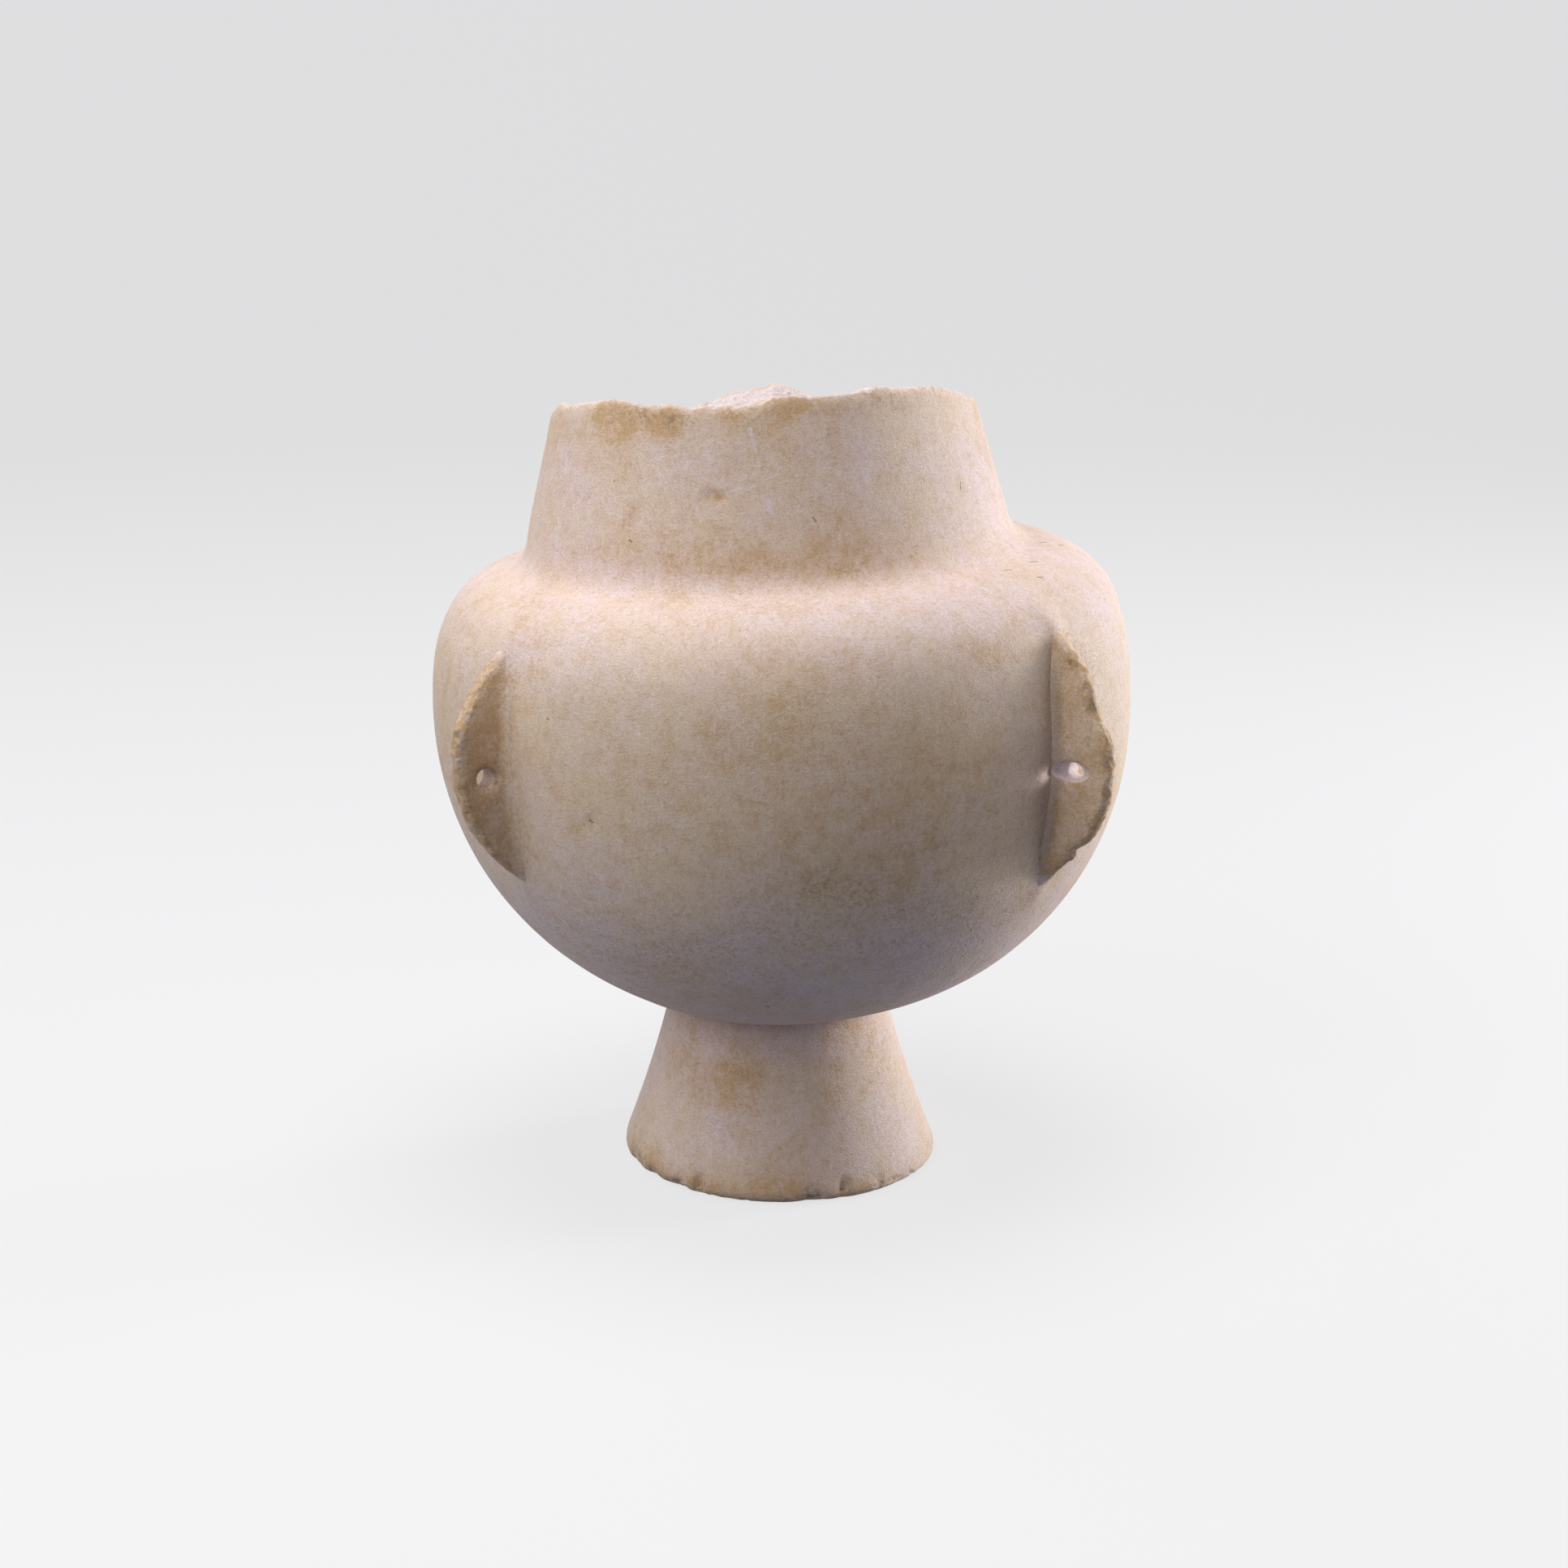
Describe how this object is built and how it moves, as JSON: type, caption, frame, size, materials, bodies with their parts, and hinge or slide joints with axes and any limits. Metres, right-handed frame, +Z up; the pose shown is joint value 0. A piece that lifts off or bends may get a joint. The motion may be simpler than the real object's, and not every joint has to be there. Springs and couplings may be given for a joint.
{
  "type": "collared jar",
  "caption": "Round marble jar on a conical foot, with a tapering broken collar and pierced upright lugs for a suspension cord.",
  "frame": {"origin": "under the centre of the body's widest level, on the surface that the jar stands on; the foot's own centre lies 1.1 mm to the left of it, seen from the side that the picture shows", "axes": "+Z up through the foot and the belly; the side shown in the picture faces midway between +X and -Y; the lug on the right of that view is near +X and the one on its left is near -Y"},
  "size_m": [0.2271, 0.2264, 0.2324],
  "materials": {
    "marble": "satin",
    "marble_worn": "matte"
  },
  "bodies": {
    "root": {"foot": "marble_worn", "body": "marble", "collar": "marble", "lug_front_right": "marble_worn", "lug_front_left": "marble_worn", "lug_back_left": "marble_worn", "lug_back_right": "marble_worn"}
  },
  "joints": []
}
